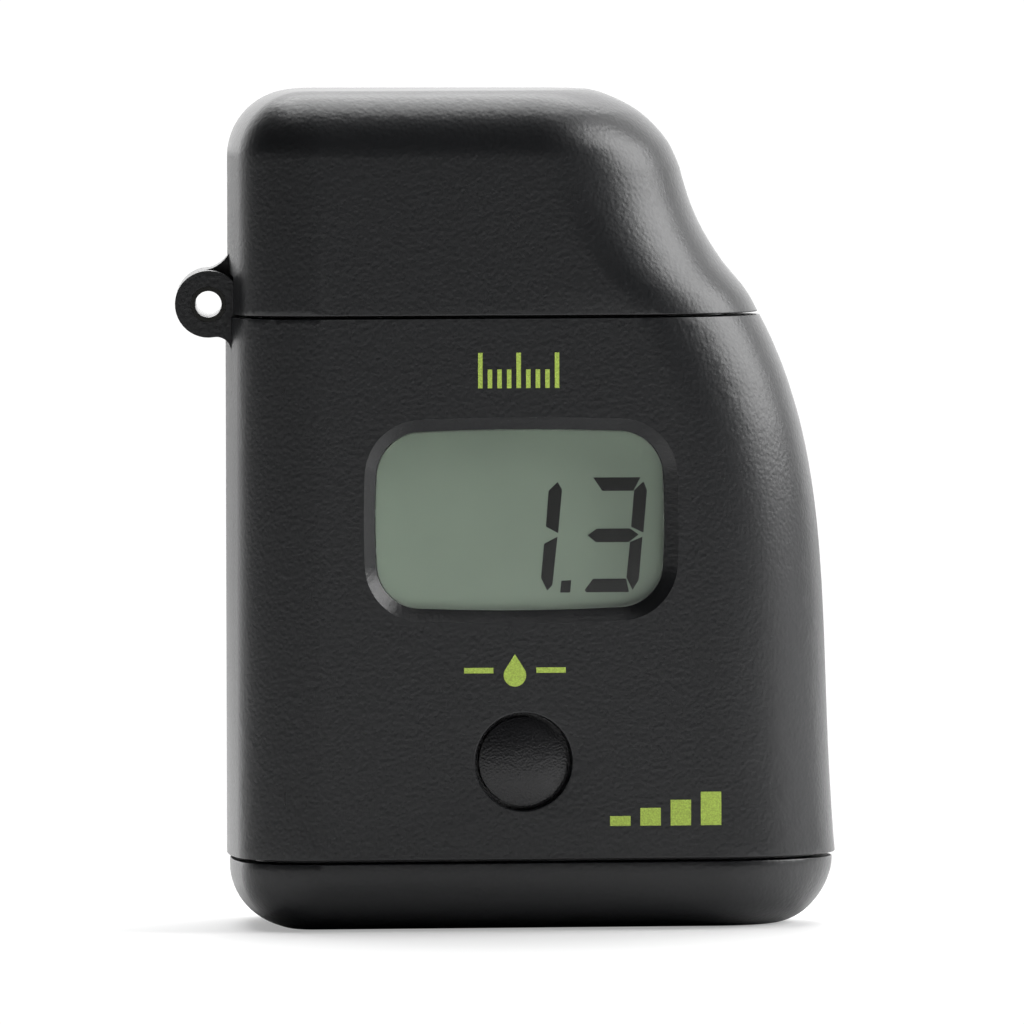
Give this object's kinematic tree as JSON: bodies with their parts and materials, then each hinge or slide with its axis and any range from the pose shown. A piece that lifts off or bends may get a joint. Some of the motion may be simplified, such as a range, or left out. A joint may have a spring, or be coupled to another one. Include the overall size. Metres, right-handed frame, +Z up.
{
  "type": "iodine concentration meter",
  "caption": "Pocket colorimeter with a hinged lid over a cuvette well, a small display and one button.",
  "frame": {"origin": "centre of the flat underside that the meter stands on", "axes": "+Z up, -Y out of the front with the display, -X towards the lid hinge"},
  "size_m": [0.0672, 0.0374, 0.0852],
  "materials": {
    "case": "fine grained dark grey moulding",
    "hinge_metal": "blackened",
    "gasket": "matt",
    "holder": "matt black",
    "screws": "zinc",
    "window": "clear",
    "lcd": "grey green display glass",
    "reflector": "satin",
    "contacts": "nickel plated",
    "board": "green solder mask",
    "chips": "matt black",
    "capacitors": "matt",
    "plunger": "plain",
    "button": "fine sparkle grain",
    "led": "tinted clear",
    "photocell": "dark clear",
    "cell": "plain sleeve"
  },
  "bodies": {
    "case": {"housing": "case", "hinge_tube": "hinge_metal", "well_gasket": "gasket", "cuvette_holder": "holder", "holder_screws": "screws", "base_cover": "case", "base_screw": "screws", "display_window": "window", "lcd_glass": "lcd", "lcd_reflector": "reflector", "lcd_pins": "contacts", "circuit_board": "board", "board_screws": "screws", "microcontroller": "chips", "amplifier_chip": "chips", "crystal": "contacts", "capacitors": "capacitors", "switch_body": "chips", "green_led": "led", "photocell": "photocell", "battery": "cell", "battery_top_contact": "contacts", "spring_plate": "contacts", "battery_spring": "contacts", "contact_strip": "contacts"},
    "lid": {"lid": "case"},
    "button": {"button_cap": "button", "switch_plunger": "plunger"}
  },
  "joints": [
    {"name": "lid_hinge", "type": "hinge", "parent": "case", "child": "lid", "pos_m": [-0.0327, 0, 0.0635], "axis": [0, -1, 0], "range_deg": [0, 110]},
    {"name": "button_press", "type": "slide", "parent": "case", "child": "button", "axis": [-0.1219, 0.9925, 0], "range_m": [0, 0.0005], "stiffness_N_per_m": 1000, "springref_m": -0.0005}
  ]
}
